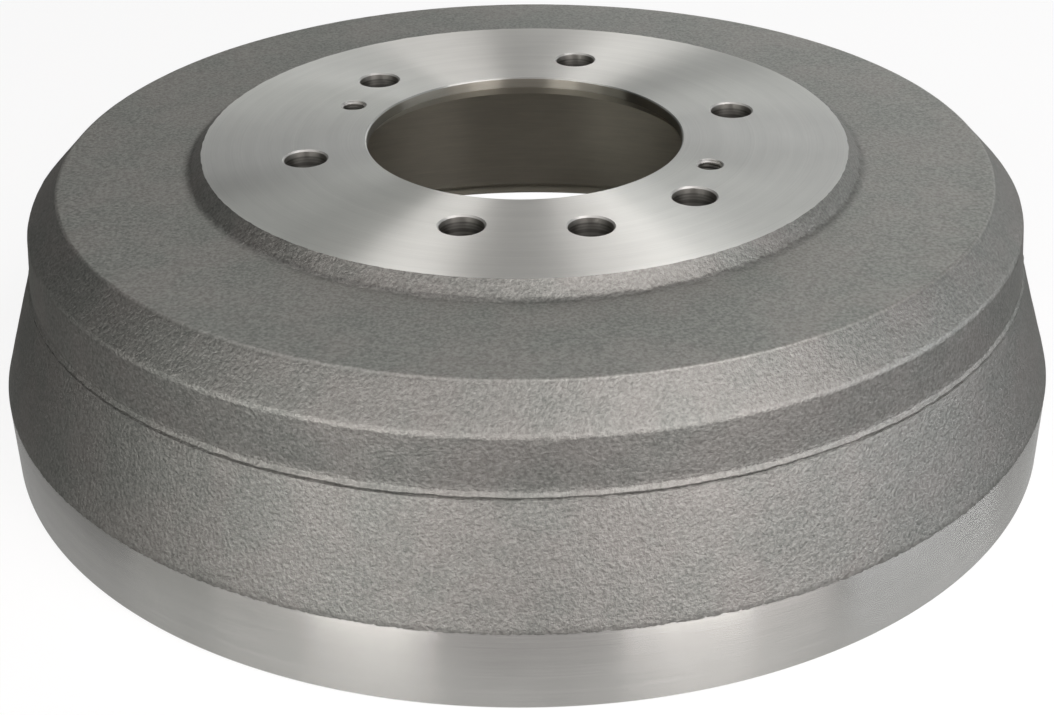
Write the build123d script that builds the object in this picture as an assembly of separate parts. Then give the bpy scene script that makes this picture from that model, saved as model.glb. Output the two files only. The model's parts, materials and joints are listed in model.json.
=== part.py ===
from build123d import *
from math import cos, radians, sin, tan
import os

# Brake drum: one grey iron casting, turned where the wheel, the axle and the shoes meet it.
# The origin is the centre of the open rim's end face, and +Z runs along the axle to the wheel side.

# the bored drum that the shoes rub
friction_diameter = 295.0
mouth_recess = 7.2
mouth_depth = 6.0
friction_lead_in = 1.5
runout_depth = 1.0
runout_width = 2.6
inner_corner_radius = 10.0

# the turned band round the open rim
rim_wall = 21.0
rim_band_height = 24.1
rim_outer_chamfer = 0.5
rim_inner_chamfer = 0.5

# the cast outside, from the wheel side down
overall_height = 90.0
hub_step = 4.5
hub_bevel_run = 4.2
hub_bevel_foot_radius = 1.5
web_fall = 0.6
web_edge_radius = 1.2
shoulder_run = 10.1
shoulder_drop = 10.5
shoulder_foot_radius = 2.5
barrel_wall = 7.9
barrel_height = 14.6
barrel_draft = 4.7
web_thickness = 6.8

# the small rolled lip at the barrel's foot, and the crease under it where the skirt starts
lip_projection = 1.3
lip_drop = 1.4
lip_edge = 0.4
lip_foot_radius = 1.5
lip_crown_radius = 0.5
crease_inset = 0.8
crease_drop = 0.6
ledge_run = 0.6
ledge_drop = 0.4

# the turned pad that the wheel bolts against, and its seat on the axle flange
hub_face_diameter = 202.5
hub_thickness = 7.0
pilot_diameter = 100.0
pilot_outer_chamfer = 1.0
pilot_inner_chamfer = 2.6
seat_margin = 5.5
seat_side_run = 1.5

# the stud holes, and the one locating hole midway between two of them
stud_circle = 139.7
stud_count = 6
stud_hole_diameter = 13.2
stud_hole_chamfer = 0.5
first_stud_angle = 15.0
locating_hole_diameter = 13.2
locating_hole_outset = 1.5
locating_hole_angle = 285.0

# the two tapped holes that jack the drum off its axle, drilled to the thread's core
jack_hole_count = 2
jack_hole_diameter = 6.8
jack_hole_chamfer = 0.8
jack_hole_inset = 12.0
first_jack_angle = 155.0

# radii and heights that follow from the sizes above
friction_radius = friction_diameter / 2
mouth_radius = friction_radius + mouth_recess
rim_radius = friction_radius + rim_wall
hub_radius = hub_face_diameter / 2
seat_radius = hub_radius - seat_margin
pilot_radius = pilot_diameter / 2
web_foot_radius = hub_radius + hub_bevel_run
barrel_top_radius = friction_radius + barrel_wall
barrel_foot_radius = barrel_top_radius + barrel_height * tan(radians(barrel_draft))
web_edge_from_axis = barrel_top_radius - shoulder_run
lip_from_axis = barrel_foot_radius + lip_projection
crease_from_axis = lip_from_axis - crease_inset

web_foot_z = overall_height - hub_step
web_edge_z = web_foot_z - web_fall
shoulder_foot_z = web_edge_z - shoulder_drop
barrel_foot_z = shoulder_foot_z - barrel_height
lip_crown_z = barrel_foot_z - lip_drop
lip_under_z = lip_crown_z - lip_edge
crease_z = lip_under_z - crease_drop
ledge_z = crease_z - ledge_drop
web_inside_z = web_edge_z - web_thickness
seat_z = overall_height - hub_thickness
runout_top_z = web_inside_z - inner_corner_radius
friction_top_z = runout_top_z - runout_width

# corners of the half section as (distance from the axis, height)
web_foot = (web_foot_radius, web_foot_z)
web_edge = (web_edge_from_axis, web_edge_z)
shoulder_foot = (barrel_top_radius, shoulder_foot_z)
barrel_foot = (barrel_foot_radius, barrel_foot_z)
lip_crown = (lip_from_axis, lip_crown_z)
inner_corner = (friction_radius + runout_depth, web_inside_z)

outside = [
    (pilot_radius + pilot_outer_chamfer, overall_height),
    (hub_radius, overall_height),
    web_foot,
    web_edge,
    shoulder_foot,
    barrel_foot,
    lip_crown,
    (lip_from_axis, lip_under_z),
    (crease_from_axis, crease_z),
    (crease_from_axis + ledge_run, ledge_z),
    (rim_radius, rim_band_height),
    (rim_radius, rim_outer_chamfer),
    (rim_radius - rim_outer_chamfer, 0),
]
inside = [
    (mouth_radius + rim_inner_chamfer, 0),
    (mouth_radius, rim_inner_chamfer),
    (mouth_radius, mouth_depth),
    (friction_radius + friction_lead_in, mouth_depth),
    (friction_radius, mouth_depth + friction_lead_in),
    (friction_radius, friction_top_z),
    (friction_radius + runout_depth, friction_top_z + runout_depth),
    inner_corner,
    (seat_radius + seat_side_run, web_inside_z),
    (seat_radius, seat_z),
    (pilot_radius + pilot_inner_chamfer, seat_z),
    (pilot_radius, seat_z + pilot_inner_chamfer),
    (pilot_radius, overall_height - pilot_outer_chamfer),
]
rounded_corners = [
    (web_foot, hub_bevel_foot_radius),
    (web_edge, web_edge_radius),
    (shoulder_foot, shoulder_foot_radius),
    (barrel_foot, lip_foot_radius),
    (lip_crown, lip_crown_radius),
    (inner_corner, inner_corner_radius),
]


def half_section():
    section = make_face(Polyline(*outside, *inside, close=True))
    for corner, radius in rounded_corners:
        nearest = section.vertices().sort_by_distance(Vector(*corner))[0]
        section = fillet(nearest, radius)
    return section


def drill(diameter, chamfer_size):
    # a straight hole through the hub with a bevel at each face
    radius = diameter / 2
    spare = 1.0
    wide = radius + chamfer_size + spare
    side = Polyline(
        (0, seat_z - spare),
        (wide, seat_z - spare),
        (radius, seat_z + chamfer_size),
        (radius, overall_height - chamfer_size),
        (wide, overall_height + spare),
        (0, overall_height + spare),
        close=True,
    )
    return revolve(Plane.XZ * make_face(side), Axis.Z)


def ring_of_holes(tool, radius, count, first_angle):
    places = []
    for number in range(count):
        angle = radians(first_angle + number * 360 / count)
        places.append(Pos(radius * cos(angle), radius * sin(angle), 0) * tool)
    return places


def brake_drum():
    drum = revolve(Plane.XZ * half_section(), Axis.Z)
    stud_radius = stud_circle / 2
    stud_drill = drill(stud_hole_diameter, stud_hole_chamfer)
    locating_drill = drill(locating_hole_diameter, stud_hole_chamfer)
    jack_drill = drill(jack_hole_diameter, jack_hole_chamfer)
    locating_radius = stud_radius + locating_hole_outset
    jack_radius = pilot_radius + jack_hole_inset
    holes = ring_of_holes(stud_drill, stud_radius, stud_count, first_stud_angle)
    holes += ring_of_holes(locating_drill, locating_radius, 1, locating_hole_angle)
    holes += ring_of_holes(jack_drill, jack_radius, jack_hole_count, first_jack_angle)
    for hole in holes:
        drum -= hole
    return drum


os.makedirs("parts", exist_ok=True)
export_step(brake_drum(), "parts/brake_drum.step")
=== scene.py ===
import json
import bmesh
import bpy
from math import ceil, cos, hypot, pi, radians, sin, tan
from mathutils import Euler, Matrix, Vector, noise


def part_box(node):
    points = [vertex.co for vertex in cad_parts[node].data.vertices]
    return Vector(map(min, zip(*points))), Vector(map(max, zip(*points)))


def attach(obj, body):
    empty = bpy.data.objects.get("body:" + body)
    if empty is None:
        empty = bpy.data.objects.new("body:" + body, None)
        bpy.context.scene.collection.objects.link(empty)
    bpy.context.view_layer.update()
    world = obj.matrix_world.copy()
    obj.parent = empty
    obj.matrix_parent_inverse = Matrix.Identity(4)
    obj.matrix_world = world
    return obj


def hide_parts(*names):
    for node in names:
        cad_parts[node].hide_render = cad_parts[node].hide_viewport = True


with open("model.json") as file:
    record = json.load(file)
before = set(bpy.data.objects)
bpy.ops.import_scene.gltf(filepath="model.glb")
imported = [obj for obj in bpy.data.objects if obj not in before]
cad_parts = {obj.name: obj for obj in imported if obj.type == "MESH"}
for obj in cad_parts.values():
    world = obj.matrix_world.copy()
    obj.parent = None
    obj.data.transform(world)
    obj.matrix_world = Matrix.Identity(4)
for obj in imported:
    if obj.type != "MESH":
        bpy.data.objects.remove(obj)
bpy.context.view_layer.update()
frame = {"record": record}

scene = bpy.context.scene
scene.view_settings.view_transform = "Standard"

mm = 0.001
mounts = {mount["name"]: mount for mount in frame["record"]["mounts"]}
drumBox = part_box("brake_drum")
print("frame loaded,", len(mounts), "mounts")


# the camera, at the photograph's distance and height

camera = {
    "back": 509.92,  # mm in front of the drum's axis
    "height": 298.34,
    "pitch": 29.629,  # degrees below level
    "roll": -0.672,
    "lens": 58.883,  # mm
    "sensor": 36,
    "nearest": 0.01,  # metres
}


def makeCamera():
    lens = bpy.data.cameras.new("photoCamera")
    lens.lens = camera["lens"]
    lens.sensor_width = camera["sensor"]
    lens.clip_start = camera["nearest"]
    body = bpy.data.objects.new("photoCamera", lens)
    tilt = Euler((radians(90 - camera["pitch"]), 0, 0)).to_matrix()
    turn = tilt @ Matrix.Rotation(radians(camera["roll"]), 3, "Z")
    place = Vector((0, -camera["back"], camera["height"])) * mm
    body.matrix_world = Matrix.Translation(place) @ turn.to_4x4()
    scene.collection.objects.link(body)
    scene.camera = body


makeCamera()
print("camera placed")


# shader maths written as plain sums, and one method for every other node

class Wire:
    def __init__(self, finish, socket):
        self.finish = finish
        self.socket = socket

    def work(self, operation, *values):
        inputs = dict(enumerate(values))
        return self.finish.add("Math", {"operation": operation}, inputs)

    def __add__(self, other):
        return self.work("ADD", self, other)

    def __radd__(self, other):
        return self.work("ADD", other, self)

    def __sub__(self, other):
        return self.work("SUBTRACT", self, other)

    def __rsub__(self, other):
        return self.work("SUBTRACT", other, self)

    def __mul__(self, other):
        return self.work("MULTIPLY", self, other)

    def __rmul__(self, other):
        return self.work("MULTIPLY", other, self)

    def __pow__(self, other):
        return self.work("POWER", self, other)

    def __rpow__(self, other):
        return self.work("POWER", other, self)

    def __lt__(self, other):
        return self.work("LESS_THAN", self, other)

    def __gt__(self, other):
        return self.work("GREATER_THAN", self, other)

    def largest(self, other):
        return self.work("MAXIMUM", self, other)

    def ramp(self, low, high):
        # 0 below low, 1 above high, and a soft step between
        settings = {"interpolation_type": "SMOOTHSTEP"}
        inputs = {"Value": self, "From Min": low, "From Max": high}
        return self.finish.add("MapRange", settings, inputs, "Result")


class Finish:
    def __init__(self, owner):
        owner.use_nodes = True
        self.owner = owner
        self.nodes = owner.node_tree.nodes
        self.links = owner.node_tree.links
        self.nodes.clear()

    def add(self, kind, settings=None, inputs=None, output=0):
        # gives one output, or a list of them where several are named
        node = self.nodes.new("ShaderNode" + kind)
        for name, value in (settings or {}).items():
            setattr(node, name, value)
        for name, value in (inputs or {}).items():
            if isinstance(value, Wire):
                self.links.new(value.socket, node.inputs[name])
            else:
                node.inputs[name].default_value = value
        if not len(node.outputs):
            return None
        if isinstance(output, tuple):
            return [Wire(self, node.outputs[name]) for name in output]
        return Wire(self, node.outputs[output])

    def mix(self, share, first, second):
        # blends two colours; share 1 is the second
        return self.add("Mix", {"data_type": "RGBA"}, {0: share, 6: first, 7: second}, 2)

    def place(self):
        return self.add("TexCoord", output="Object")

    def polar(self):
        # distance from the axle and height, in metres
        x, y, z = self.add("SeparateXYZ", {}, {0: self.place()}, ("X", "Y", "Z"))
        return (x * x + y * y) ** 0.5, z

    def streaks(self, along, size):
        # tool lines broken up round the axle
        drawnOut = (0.1, 0.1, 0)
        flat = self.add("VectorMath", {"operation": "MULTIPLY"}, {0: self.place(), 1: drawnOut})
        lift = self.add("CombineXYZ", {}, {"Z": along})
        where = self.add("VectorMath", {"operation": "ADD"}, {0: flat, 1: lift})
        return self.grain(size, 3.0, 0.6, where)

    def grain(self, size, detail=2.0, roughness=0.5, where=None):
        # noise with features about as wide as size, in mm
        inputs = {
            "Vector": where or self.place(),
            "Scale": 1 / (size * mm),
            "Detail": detail,
            "Roughness": roughness,
        }
        return self.add("TexNoise", {}, inputs, "Fac")

    def rings(self, along, pitch, detail=3.0):
        # tool lines: noise along one length only
        inputs = {"W": along, "Scale": 1 / (pitch * mm), "Detail": detail, "Roughness": 0.6}
        return self.add("TexNoise", {"noise_dimensions": "1D"}, inputs, "Fac")

    def bump(self, height, depth):
        inputs = {"Height": height, "Distance": depth * mm, "Strength": 1.0}
        return self.add("Bump", {}, inputs, "Normal")

    def output(self, surface):
        self.add("OutputMaterial", {}, {"Surface": surface})
        return self.owner


def grey(level, red=0.0, blue=0.0):
    # a grey of this brightness, a little redder or bluer
    return (level * (1 + red), level, level * (1 + blue), 1)


def inMetres(lengths):
    return [length * mm for length in lengths]


# the finishes

castFinish = {
    "level": 0.167,  # brightness of the skin
    "cool": (-0.035, -0.07),  # redder and bluer than grey, in the darker patches
    "warm": (0.035, -0.06),  # and in the lighter ones
    "highlight": (0.0, -0.06),
    "webLevel": 1.67,  # painted light: the web, the same iron as the sides, is painted lighter, times this, for the light that falls on it from above
    "webAbove": (84.0, 84.8),  # mm, where the web starts
    "webBeyond": (105, 108),
    "webShare": 0.55,  # it is smoother than the sides
    "barrelLevel": 1.21,  # painted light: the barrel's skin is painted a little lighter, times this, for the light that falls on it
    "barrelAbove": (59.4, 60.6),
    "barrelBelow": (72, 75),
    "barrelShare": 0.65,
    "patch": (22, 3.0, 0.55),  # soft lighter and darker patches: size in mm, detail, roughness
    "patchDepth": 0.05,
    "patchEdge": (0.35, 0.65),
    "grain": (1.1, 3.0, 0.7),  # the sand grain
    "grainDepth": 0.25,
    "speck": (0.9, 1.0, 0.5),  # tiny light and dark specks
    "speckEdge": (0.3, 0.7),
    "contrast": 0.6,
    "rough": 0.5,
    "roughSpread": 0.2,
    "grazing": 0.6,  # a rough skin shines less than smooth metal where it is seen at a low angle
}


def castShader(finish):
    c = castFinish
    r, z = finish.polar()
    onWeb = z.ramp(*inMetres(c["webAbove"])) * r.ramp(*inMetres(c["webBeyond"]))
    onBarrel = z.ramp(*inMetres(c["barrelAbove"])) * (1 - z.ramp(*inMetres(c["barrelBelow"])))
    depth = 1 - onWeb * (1 - c["webShare"]) - onBarrel * (1 - c["barrelShare"])
    grain = finish.grain(*c["grain"])
    specks = finish.grain(*c["speck"])
    patches = finish.grain(*c["patch"])
    cool = grey(c["level"] * (1 - c["patchDepth"]), *c["cool"])
    warm = grey(c["level"] * (1 + c["patchDepth"]), *c["warm"])
    soft = finish.mix(patches.ramp(*c["patchEdge"]), cool, warm)
    bright = (0.5 * grain + 0.5 * specks).ramp(*c["speckEdge"])
    highlight = grey(c["level"] * 2, *c["highlight"])
    skin = finish.mix(bright * c["contrast"], soft, highlight)
    # painted light: the web and the barrel are painted lighter than the rest of the skin, for the
    # light that falls on them
    level = 1 + onWeb * (c["webLevel"] - 1) + onBarrel * (c["barrelLevel"] - 1)
    inputs = {
        "Base Color": finish.add("VectorMath", {"operation": "SCALE"}, {0: skin, 3: level}),
        "Metallic": 1.0,
        "Specular Tint": grey(c["grazing"]),
        "Roughness": c["roughSpread"] * grain + (c["rough"] - c["roughSpread"] / 2),
        "Normal": finish.bump(grain * depth, c["grainDepth"]),
    }
    return finish.add("BsdfPrincipled", {}, inputs)


turnedFinish = {
    "level": 0.72,
    "red": 0.005,
    "blue": -0.045,
    "brownRed": 0.4,  # how much of the brown goes into red
    "rough": 0.36,
    "roughSpread": 0.06,
    "anisotropic": 1.0,
    "direction": 0.25,  # a quarter turn, so the shine is drawn out across the lines
    "linePitch": 0.5,  # mm
    "lineDepth": 0.01,
    "lineShare": 0.12,  # how much the lines change the colour
    "widePitch": 4.5,
    "wideShare": 0.08,
    "base": 0.9,
    "streak": 1.2,  # mm
    "streakDepth": 0.08,
    "groovePitch": 1.6,
    "grooveEdge": (0.45, 0.6),
    "cloud": 30,
    "cloudShare": 0.1,
}


def turnedShader(
    finish, along, level=1.0, rough=1.0, lines=1.0, brown=0.0, grooves=0.0, brushed=1.0
):
    # concentric tool lines; along is the length that crosses them
    c = turnedFinish
    fineLines = finish.rings(along, c["linePitch"])
    wideLines = finish.rings(along, c["widePitch"], 1.0)
    broken = (finish.streaks(along, c["streak"]) - 0.5) * (c["streakDepth"] * lines)
    bright = fineLines * c["lineShare"] + wideLines * c["wideShare"] + broken + c["base"]
    if grooves:
        coarse = finish.rings(along, c["groovePitch"], 1.0)
        bright = bright - coarse.ramp(*c["grooveEdge"]) * grooves
    clouds = (finish.grain(c["cloud"], 2.0) - 0.5) * c["cloudShare"]
    # twice as bright as the face, and mixed about half way, so that lines go both ways from it
    full = grey(2 * c["level"] * level, c["red"] + brown * c["brownRed"], c["blue"] - brown)
    inputs = {
        "Base Color": finish.mix(bright * 0.5 + clouds, grey(0), full),
        "Metallic": 1.0,
        "Roughness": fineLines * c["roughSpread"] + (c["rough"] * rough - c["roughSpread"] / 2),
        "Normal": finish.bump(fineLines, c["lineDepth"] * lines),
        "Anisotropic": c["anisotropic"] * brushed,
        "Anisotropic Rotation": c["direction"],
    }
    return finish.add("BsdfPrincipled", {}, inputs)


def castSkin():
    finish = Finish(bpy.data.materials.new("castSkin"))
    return finish.output(castShader(finish))


rimFinish = {
    "level": 0.9,
    "rough": 0.7,
    "tooth": 1.6,  # mm, the ragged line where the skin above the turned band stops
    "ragged": 1.4,
    "overlap": 4,  # mm of skin above the band that this finish covers too
    "wall": 1,  # mm from the mouth's wall to the first face that has it
}


def turnedRim():
    c = rimFinish
    finish = Finish(bpy.data.materials.new("turnedRim"))
    r, z = finish.polar()
    ragged = (finish.grain(c["tooth"], 2.0, 0.6) - 0.5) * (c["ragged"] * mm)
    onBand = (z + ragged) < (section["bandTop"] * mm)
    turned = turnedShader(finish, r + z, c["level"], c["rough"])
    shader = finish.add("MixShader", {}, {0: onBand, 1: castShader(finish), 2: turned})
    return finish.output(shader)


turnedFaces = {
    # how bright, how rough, how deep the fine lines, how brown, how dark the coarse grooves,
    # and whether the shine is drawn out across the lines
    "turnedHub": {},
    "turnedBore": {"level": 0.84, "rough": 0.9, "lines": 3.0, "brown": 0.14},
    # painted light: the mouth recess is painted lighter than the bore, which lifts the shade that
    # falls in the recess
    "mouthRecess": {"level": 1.2, "rough": 1.1, "lines": 3.0, "brown": 0.14},
    "pilotWall": {"level": 0.46, "rough": 0.8, "lines": 2.0, "brown": 0.1},
    "pilotEdge": {"level": 0.62, "rough": 0.9},
    "pilotFoot": {"level": 0.88, "rough": 0.95, "lines": 3.0, "brown": 0.14},
    # painted shade: the hole walls, and the thread wound in them, are painted dark for the shade
    # inside the holes
    "drilledHole": {
        "level": 0.4, "rough": 1.2, "lines": 4.0, "brown": 0.04, "grooves": 0.4, "brushed": 0.7,
    },
}


def turnedFace(name):
    finish = Finish(bpy.data.materials.new(name))
    r, z = finish.polar()
    along = z if name == "drilledHole" else r + z
    return finish.output(turnedShader(finish, along, **turnedFaces[name]))


bevelFinish = {
    "colour": grey(0.5, 0.01, -0.04),
    "rough": 0.5,
}


def holeBevel():
    c = bevelFinish
    finish = Finish(bpy.data.materials.new("holeBevel"))
    inputs = {"Base Color": c["colour"], "Metallic": 1.0, "Roughness": c["rough"]}
    return finish.output(finish.add("BsdfPrincipled", {}, inputs))


# the drum's half section, in mm

section = {
    "rimRadius": drumBox[1].x / mm,
    "bandTop": 24.1,
    "rimBevel": 0.5,
    "height": drumBox[1].z / mm,
    "hubRadius": 101.25,
    "pilotRadius": mounts["pilot_bore"]["dims"]["r_mm"],
    "pilotBevel": 0.4,
    "pilotFoot": 3.5,  # the wide bevel under the pilot bore
    "seatHeight": mounts["axle_seat"]["pos_m"][2] / mm,
    "seatRadius": 95.75,
    "seatSide": 1.5,
    "webInside": 11.9,  # below the hub's face
    "innerCorner": 10,
    "frictionRadius": mounts["friction_bore"]["dims"]["r_mm"],
    "frictionTop": 65.5,
    "runout": 1.0,  # depth of the groove over the friction bore
    "leadIn": 1.5,
    "mouthRadius": mounts["mouth_recess"]["dims"]["r_mm"],
    "mouthDepth": 6.0,
    "webLow": 84,  # the web's outside lies above this height
    "castBeyond": 149.5,  # below the web, the outside lies beyond this distance from the axle
    "around": 720,  # steps round the axle
    "ring": 1.7,  # mm between rings on the cast skin
    "roundSteps": 5,
    "near": 0.01,  # closer than this counts as the same place
}

castCorners = {
    # distance from the axle, depth below the hub's face, corner radius
    "bevelFoot": (105.45, 4.5, 3),
    "webEdge": (145.3, 5.1, 1.2),
    "shoulderFoot": (155.4, 15.6, 3),
    "barrelFoot": (156.9, 30.7, 1.5),
    "lip": (157.65, 31.7, 0.5),
    "underLip": (157.65, 32.0, 0),
    "crease": (157.1, 32.4, 0),
    "skirtTop": (157.7, 32.8, 0),
}


def sectionCorners():
    # each corner as distance from the axle, height and corner radius
    s = section
    top, bevel, rim = s["height"], s["rimBevel"], s["rimRadius"]
    bore, mouth, pilot = s["frictionRadius"], s["mouthRadius"], s["pilotRadius"]
    outside = [
        (pilot + s["pilotBevel"], top, 0),
        (s["hubRadius"], top, 0),
        *((r, top - depth, radius) for r, depth, radius in castCorners.values()),
        (rim, s["bandTop"], 0),
        (rim, bevel, 0),
        (rim - bevel, 0, 0),
    ]
    inside = [
        (mouth + bevel, 0, 0),
        (mouth, bevel, 0),
        (mouth, s["mouthDepth"], 0),
        (bore + s["leadIn"], s["mouthDepth"], 0),
        (bore, s["mouthDepth"] + s["leadIn"], 0),
        (bore, s["frictionTop"], 0),
        (bore + s["runout"], s["frictionTop"] + s["runout"], 0),
        (bore + s["runout"], top - s["webInside"], s["innerCorner"]),
        (s["seatRadius"] + s["seatSide"], top - s["webInside"], 0),
        (s["seatRadius"], s["seatHeight"], 0),
        (pilot + s["pilotFoot"], s["seatHeight"], 0),
        (pilot, s["seatHeight"] + s["pilotFoot"], 0),
        (pilot, top - s["pilotBevel"], 0),
    ]
    return outside + inside


def cornerCut(before, corner, after):
    # how far along both sides a corner radius reaches
    back = Vector((before[0] - corner[0], before[1] - corner[1]))
    ahead = Vector((after[0] - corner[0], after[1] - corner[1]))
    return corner[2] / tan(back.angle(ahead) / 2)


def isCast(r, z):
    # true on the outer skin that no tool has touched
    s = section
    overWeb = r > s["hubRadius"] - s["near"] and z > s["webLow"]
    overSkirt = r > s["castBeyond"] and z > s["bandTop"] + s["near"]
    return (overWeb or overSkirt) and z < s["height"] - s["near"]


def drawSection(bm):
    corners = sectionCorners()
    points = [bm.verts.new((r * mm, 0, z * mm)) for r, z, radius in corners]
    bm.faces.new(points)
    count = len(corners)
    for index, point in enumerate(points):
        if corners[index][2]:
            reach = cornerCut(corners[index - 1], corners[index], corners[(index + 1) % count])
            bmesh.ops.bevel(
                bm, geom=[point], offset=reach * mm, offset_type="OFFSET",
                segments=section["roundSteps"], profile=0.5, affect="VERTICES", material=-1,
                clamp_overlap=False,
            )
    bmesh.ops.delete(bm, geom=bm.faces[:], context="FACES_ONLY")
    for edge in bm.edges[:]:
        middle = (edge.verts[0].co + edge.verts[1].co) / 2 / mm
        cuts = int(edge.calc_length() / mm / section["ring"])
        if cuts and isCast(middle.x, middle.z):
            bmesh.ops.subdivide_edges(bm, edges=[edge], cuts=cuts)


def turnSection(bm):
    # a quarter turn, mirrored twice
    bmesh.ops.spin(
        bm, geom=bm.verts[:] + bm.edges[:], cent=(0, 0, 0), axis=(0, 0, 1), dvec=(0, 0, 0),
        angle=pi / 2, steps=section["around"] // 4, use_merge=False,
    )
    for axis in "XY":
        half = bm.verts[:] + bm.edges[:] + bm.faces[:]
        bmesh.ops.mirror(bm, geom=half, merge_dist=section["near"] * mm, axis=axis)
    bmesh.ops.recalc_face_normals(bm, faces=bm.faces[:])


# the cast skin is a little uneven, and the lip under the barrel more so

relief = {
    "wave": 26,  # mm across the broad waves left by the sand
    "waveDepth": 0.16,
    "dimple": 5,
    "dimpleDepth": 0.07,
    "dimpleShift": Vector((7, 3, 1)),  # another part of the noise
    "lip": 3.2,
    "lipDepth": 0.4,
    "lipHeight": 58,
    "lipReach": 1.4,
    "foot": 3,  # the line at the foot of the hub's bevel, and the hub's own edge
    "footDepth": 0.3,
    "footShift": Vector((2, 5, 8)),
    "footReach": 1.6,
    "edgeShare": 0.7,
    "webShare": 0.35,  # the web is smoother than the sides
    "webFrom": 104,
    "webFade": 4,
    "hubFade": 1.5,  # mm over which the skin evens out towards the hub's face
    "bandFade": 3,  # and towards the turned band
}


def hubEdgeMove(place, r):
    c = relief
    outwards = Vector((place.x, place.y, 0)) / r
    return outwards * noise.noise(place / c["foot"]) * c["footDepth"] * c["edgeShare"]


def skinMove(place, r, z):
    # how far the skin stands out here, in mm
    c = relief
    wave = noise.noise(place / c["wave"]) * c["waveDepth"]
    move = wave + noise.noise(place / c["dimple"] + c["dimpleShift"]) * c["dimpleDepth"]
    if z > section["webLow"]:
        fromBevel = min(1, max(0, (r - c["webFrom"]) / c["webFade"]))
        move *= 1 - fromBevel * (1 - c["webShare"])
    fromHub = min(1, (section["height"] - z) / c["hubFade"])
    fromBand = min(1, (z - section["bandTop"]) / c["bandFade"])
    move *= min(fromHub, fromBand)
    nearLip = max(0, 1 - abs(z - c["lipHeight"]) / c["lipReach"])
    if nearLip:
        move += nearLip * noise.noise(place / c["lip"]) * c["lipDepth"]
    footRadius, footDrop, _ = castCorners["bevelFoot"]
    away = hypot(r - footRadius, z - section["height"] + footDrop)
    nearFoot = max(0, 1 - away / c["footReach"])
    if nearFoot:
        move += nearFoot * noise.noise(place / c["foot"] + c["footShift"]) * c["footDepth"]
    return move


def roughenSkin(bm):
    s = section
    bm.normal_update()
    moves = []
    for vert in bm.verts:
        place = vert.co / mm
        r, z = hypot(place.x, place.y), place.z
        if abs(r - s["hubRadius"]) < s["near"] and z > s["height"] - s["near"]:
            moves.append((vert, hubEdgeMove(place, r) * mm))
        elif isCast(r, z):
            moves.append((vert, vert.normal * skinMove(place, r, z) * mm))
    for vert, move in moves:
        vert.co += move
    print("skin roughened,", len(moves), "points")


# the holes, each cut by a turned plug with a bevel at both faces

holes = {
    "bevel": 0.5,
    "around": 64,
    "spare": 1.0,  # how far a plug reaches past both faces
    "firstAngle": 15,
    "merge": 0.001,
    "slope": 0.5,  # a face that points further up or down than this belongs to a bevel
}


def makePlug(radius, bevel, middle):
    bm = bmesh.new()
    low, high, spare = section["seatHeight"], section["height"], holes["spare"]
    corners = [
        (0, low - spare),
        (radius + bevel + spare, low - spare),
        (radius, low + bevel),
        (radius, high - bevel),
        (radius + bevel + spare, high + spare),
        (0, high + spare),
    ]
    points = [bm.verts.new((r * mm, 0, z * mm)) for r, z in corners]
    sides = [bm.edges.new(pair) for pair in zip(points, points[1:])]
    bmesh.ops.spin(
        bm, geom=points + sides, cent=(0, 0, 0), axis=(0, 0, 1), dvec=(0, 0, 0),
        angle=2 * pi, steps=holes["around"], use_merge=True,
    )
    bmesh.ops.remove_doubles(bm, verts=bm.verts[:], dist=holes["merge"] * mm)
    bmesh.ops.recalc_face_normals(bm, faces=bm.faces[:])
    bmesh.ops.translate(bm, verts=bm.verts[:], vec=middle)
    for face in bm.faces:
        slopes = abs(face.normal.z) > holes["slope"]
        face.material_index = finishNames.index("holeBevel" if slopes else "drilledHole")
    return bm


def joinAll(parts):
    whole = bmesh.new()
    for part in parts:
        mesh = bpy.data.meshes.new("part")
        part.to_mesh(mesh)
        part.free()
        whole.from_mesh(mesh)
        bpy.data.meshes.remove(mesh)
    return whole


def overHub(name):
    # a mount's place, dropped to the floor
    middle = Vector(mounts[name]["pos_m"])
    middle.z = 0
    return middle


jackHoles = ("jack_hole_left", "jack_hole_right")


def makePlugs():
    pattern, locating = mounts["stud_holes"]["dims"], mounts["locating_hole"]["dims"]
    plugs = []
    for number in range(pattern["count"]):
        angle = radians(holes["firstAngle"] + 360 / pattern["count"] * number)
        middle = Vector((cos(angle), sin(angle), 0)) * pattern["pcd_mm"] / 2 * mm
        plugs.append(makePlug(pattern["hole_r_mm"], holes["bevel"], middle))
    plugs.append(makePlug(locating["r_mm"], holes["bevel"], overHub("locating_hole")))
    for name in jackHoles:
        plugs.append(makePlug(thread["root"], thread["rootBevel"], overHub(name)))
    return joinAll(plugs)


# the thread in the two jack holes: a ridge wound up each hole, its ends trimmed by the countersink

thread = {
    "pitch": 1.25,
    "crest": mounts["jack_hole_left"]["dims"]["r_mm"],
    "root": 4.06,
    "crestBevel": 0.8,
    "rootBevel": 0.25,
    "sunk": 0.1,  # how far the ridge reaches into the wall
    "crestWidth": 0.3,
    "footWidth": 1.12,
    "spare": 0.3,  # how far the ridge runs past both faces before it is trimmed
    "around": 48,
}


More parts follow.
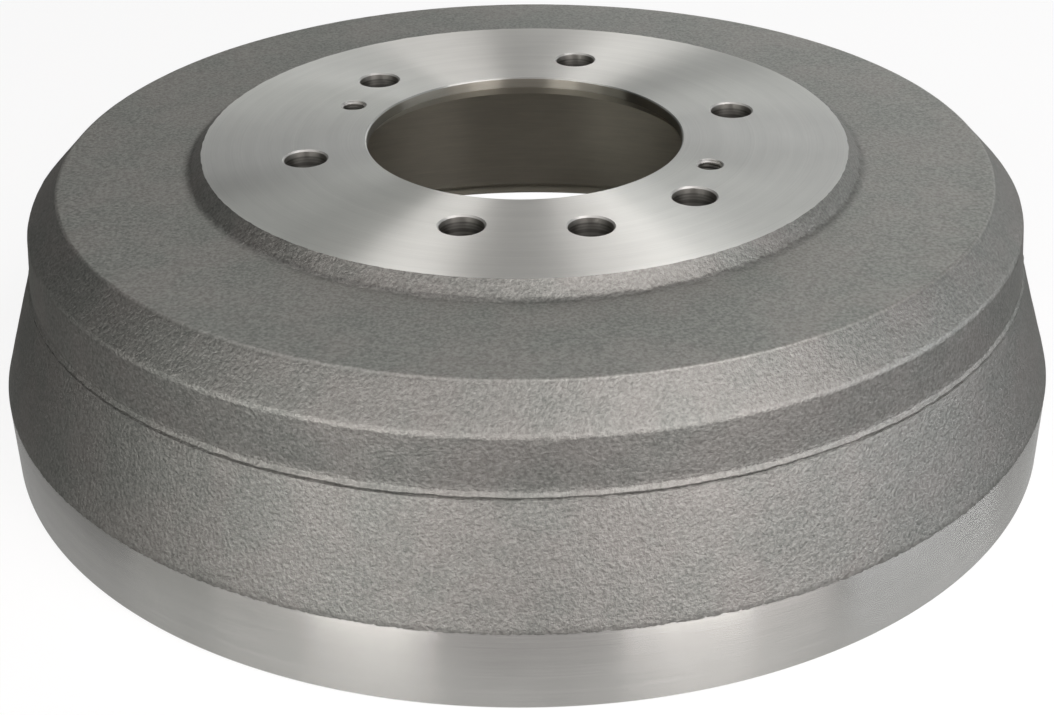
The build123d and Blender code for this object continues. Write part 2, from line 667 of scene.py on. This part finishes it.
def makeRidge(middle):
    c = thread
    bm = bmesh.new()
    low, high = section["seatHeight"] - c["spare"], section["height"] + c["spare"]
    turns = (high - low) / c["pitch"]
    foot = c["root"] + c["sunk"]
    corners = [
        (foot, -c["footWidth"] / 2),
        (c["crest"], -c["crestWidth"] / 2),
        (c["crest"], c["crestWidth"] / 2),
        (foot, c["footWidth"] / 2),
    ]
    points = [bm.verts.new((r * mm, 0, (low + z) * mm)) for r, z in corners]
    end = bm.faces.new(points)
    climb = (0, 0, c["pitch"] / c["around"] * mm)
    bmesh.ops.spin(
        bm, geom=[end], cent=(0, 0, 0), axis=(0, 0, 1), dvec=climb,
        angle=2 * pi * turns, steps=int(turns * c["around"]),
    )
    bmesh.ops.recalc_face_normals(bm, faces=bm.faces[:])
    bmesh.ops.translate(bm, verts=bm.verts[:], vec=middle)
    for face in bm.faces:
        face.material_index = finishNames.index("drilledHole")
    return bm


def makeThreads():
    c = thread
    body = meshObject("jack_threads", joinAll([makeRidge(overHub(name)) for name in jackHoles]))
    plugs = [makePlug(c["crest"], c["crestBevel"], overHub(name)) for name in jackHoles]
    cutAway(body, joinAll(plugs))
    finishPiece(body, sharpAngle=40)


finishes = {name: turnedFace(name) for name in turnedFaces}
finishes["turnedRim"] = turnedRim()
finishes["castSkin"] = castSkin()
finishes["holeBevel"] = holeBevel()
finishNames = list(finishes)


def finishAt(r, z):
    s = section
    if r < s["pilotRadius"] + s["pilotBevel"]:
        return "pilotEdge" if z > s["height"] - s["pilotBevel"] else "pilotWall"
    if r < s["pilotRadius"] + s["pilotFoot"] and z < s["seatHeight"] + s["pilotFoot"]:
        return "pilotFoot"
    if r < s["hubRadius"] and z > s["seatHeight"] - s["near"]:
        return "turnedHub"
    if r > s["mouthRadius"] + rimFinish["wall"] and z < s["bandTop"] + rimFinish["overlap"]:
        return "turnedRim"  # its own finish draws the line between skin and band
    if isCast(r, z):
        return "castSkin"
    if z < s["mouthDepth"] + s["leadIn"] - s["near"]:
        return "mouthRecess"
    return "turnedBore" if z < s["frictionTop"] + s["leadIn"] else "castSkin"


def meshObject(name, bm):
    mesh = bpy.data.meshes.new(name)
    bm.to_mesh(mesh)
    bm.free()
    body = bpy.data.objects.new(name, mesh)
    scene.collection.objects.link(body)
    for finish in finishes.values():
        mesh.materials.append(finish)
    return body


def cutAway(body, plugMesh):
    plugs = meshObject("plugs", plugMesh)
    cut = body.modifiers.new("cut", "BOOLEAN")
    cut.object = plugs
    cut.operation = "DIFFERENCE"
    cut.solver = "EXACT"
    graph = bpy.context.evaluated_depsgraph_get()
    done = bpy.data.meshes.new_from_object(body.evaluated_get(graph))
    body.modifiers.clear()
    old = body.data
    body.data = done
    bpy.data.meshes.remove(old)
    bpy.data.objects.remove(plugs)


def finishPiece(body, sharpAngle):
    # smooth shading, with edges steeper than sharpAngle degrees kept sharp
    bm = bmesh.new()
    bm.from_mesh(body.data)
    for face in bm.faces:
        face.smooth = True
    for edge in bm.edges:
        edge.smooth = edge.calc_face_angle(0) < radians(sharpAngle)
    bm.to_mesh(body.data)
    triangles = sum(len(face.verts) - 2 for face in bm.faces)
    openEdges = sum(1 for edge in bm.edges if len(edge.link_faces) != 2)
    print(body.name, "has", triangles, "triangles,", openEdges, "open edges")
    bm.free()
    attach(body, "root")


def makeDrum():
    bm = bmesh.new()
    drawSection(bm)
    print("section drawn,", len(bm.verts), "points")
    turnSection(bm)
    print("drum turned,", len(bm.faces), "faces")
    roughenSkin(bm)
    for face in bm.faces:
        middle = face.calc_center_median() / mm
        face.material_index = finishNames.index(finishAt(hypot(middle.x, middle.y), middle.z))
    body = meshObject("drum_casting", bm)
    cutAway(body, makePlugs())
    finishPiece(body, sharpAngle=22)
    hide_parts("brake_drum")


makeDrum()
makeThreads()


# the stage: a wide white floor, a white surround and soft lamps

stage = {
    "floor": 6.0,  # metres each way
    "sunk": 0.05,  # mm under the drum
    "floorLevel": 0.96,
    "floorShade": 0.12,  # its level as light and metal see it
    "floorGlow": 0.8,  # the rest of the floor's white comes from the lamps, so the shadow stays
    "underDrum": (-12, -6),  # mm from the rim, the hidden floor that shows white through the bore
    "farWhite": (0.4, 1.2),  # metres from the axle, where the floor grows fully white
    "clear": (0.6, 3.0),  # metres from the rim, where it grows white as metal shows it; nearer, the floor is painted dark to metal, a painted shade of the drum on the floor
    "strip": (20, 60),  # mm from the rim, the end of a painted glowing strip in the floor, seen only in reflections, that the turned band shows
    "stripGlow": 0.35,
    "overhead": 0.03,  # the surround is white low down and dark overhead
    "horizon": (0.0, 0.06),
}

lamps = {
    # azimuth from and to, 0 on the camera's side and 90 to its right, elevation from and to,
    # brightness, and how much redder and bluer than white
    "frontLeft": (-60, 20, 2, 62, 1.35, 0.05, 0.0),
    "frontRight": (20, 60, 2, 47, 2.86, 0.05, 0.0),
    "lowLeft": (-40, -17, 2, 17, 4.3, 0.05, 0.0),
    "lowRight": (17, 40, 2, 17, 4.3, 0.05, 0.0),
    "left": (-80, -20, 2, 32, 1.47, 0.0, -0.04),
    "rightHigh": (20, 80, 47, 62, 5.06, 0.02, 0.0),
    "right": (60, 100, 2, 17, 5.17, -0.01, 0.04),
    "backLeft": (-135, -105, 62, 77, 6.4, 0.02, 0.0),
    "backHigh": (140, 160, 47, 62, 2.66, 0.0, 0.0),
    "back": (140, 220, 32, 47, 0.73, -0.02, -0.02),
    "backLow": (100, 200, 2, 32, 0.37, -0.01, 0.0),
    "backFloor": (100, 180, 2, 17, 1.35, -0.01, 0.02),
}
lampDistance = 1.5  # metres
widestLamp = 52  # degrees, past which a lamp is made of several side by side


def rayKinds(finish):
    # the camera's own rays, and those that shiny and clear surfaces send out
    kinds = ("Is Camera Ray", "Is Glossy Ray", "Is Transmission Ray")
    direct, glossy, through = finish.add("LightPath", {}, {}, kinds)
    return direct, glossy.largest(through)


def makeFloor():
    bm = bmesh.new()
    bmesh.ops.create_grid(bm, x_segments=1, y_segments=1, size=stage["floor"])
    floor = bpy.data.meshes.new("floor")
    bm.to_mesh(floor)
    bm.free()
    body = bpy.data.objects.new("floor", floor)
    body.location.z = -stage["sunk"] * mm
    scene.collection.objects.link(body)
    finish = Finish(bpy.data.materials.new("paleFloor"))
    direct, shiny = rayKinds(finish)
    level = finish.mix(direct, grey(stage["floorShade"]), grey(stage["floorLevel"]))
    lit = finish.add("BsdfDiffuse", {}, {"Color": level})
    glow = finish.add("Emission", {}, {"Color": grey(1), "Strength": 1.0})
    r, z = finish.polar()
    glowing = stage["floorGlow"]
    fromRim = r - section["rimRadius"] * mm
    underDrum = 1 - fromRim.ramp(*inMetres(stage["underDrum"]))
    white = underDrum.largest(r.ramp(*stage["farWhite"]))
    seen = direct * (white * (1 - glowing) + glowing)
    # painted reflection: a strip of floor by the rim glows for shiny rays only, to light the
    # turned band's sides
    strip = (1 - underDrum) * (1 - fromRim.ramp(*inMetres(stage["strip"])))
    # painted shade: the floor that metal shows stays dark near the drum, and white further out
    shown = (fromRim.ramp(*stage["clear"]) * glowing).largest(strip * stage["stripGlow"])
    share = seen.largest(shiny * shown)
    floor.materials.append(finish.output(finish.add("MixShader", {}, {0: share, 1: lit, 2: glow})))


def makeSurround():
    world = bpy.data.worlds.new("surround")
    scene.world = world
    finish = Finish(world)
    direct, shiny = rayKinds(finish)
    around = finish.add("TexCoord", output="Generated")
    height = finish.add("SeparateXYZ", {}, {0: around}, "Z")
    dark = height.ramp(*stage["horizon"]) * (1 - stage["overhead"])
    strength = direct.largest(shiny * (1 - dark))
    light = finish.add("Background", {}, {"Color": grey(1), "Strength": strength})
    finish.add("OutputWorld", {}, {"Surface": light})


def makeLamp(name, azimuth, elevation, width, height, brightness, red, blue):
    light = bpy.data.lights.new(name, "AREA")
    light.shape = "RECTANGLE"
    light.color = grey(1, red, blue)[:3]
    light.size = width
    light.size_y = height
    light.energy = brightness * pi * width * height
    body = bpy.data.objects.new(name, light)
    away = Vector((sin(azimuth) * cos(elevation), -cos(azimuth) * cos(elevation), sin(elevation)))
    body.location = away * lampDistance
    body.rotation_mode = "QUATERNION"
    body.rotation_quaternion = away.to_track_quat("Z", "Y")
    body.visible_camera = False
    scene.collection.objects.link(body)


def makeLamps():
    for name, (left, right, low, high, *colour) in lamps.items():
        columns, rows = ceil((right - left) / widestLamp), ceil((high - low) / widestLamp)
        across, up = radians(right - left) / columns, radians(high - low) / rows
        lampHeight = 2 * tan(up / 2) * lampDistance
        for row in range(rows):
            elevation = radians(low) + up * (row + 0.5)
            lampWidth = 2 * tan(across / 2) * cos(elevation) * lampDistance
            for column in range(columns):
                azimuth = radians(left) + across * (column + 0.5)
                makeLamp(name, azimuth, elevation, lampWidth, lampHeight, *colour)


makeFloor()
makeSurround()
makeLamps()
print("stage lit")
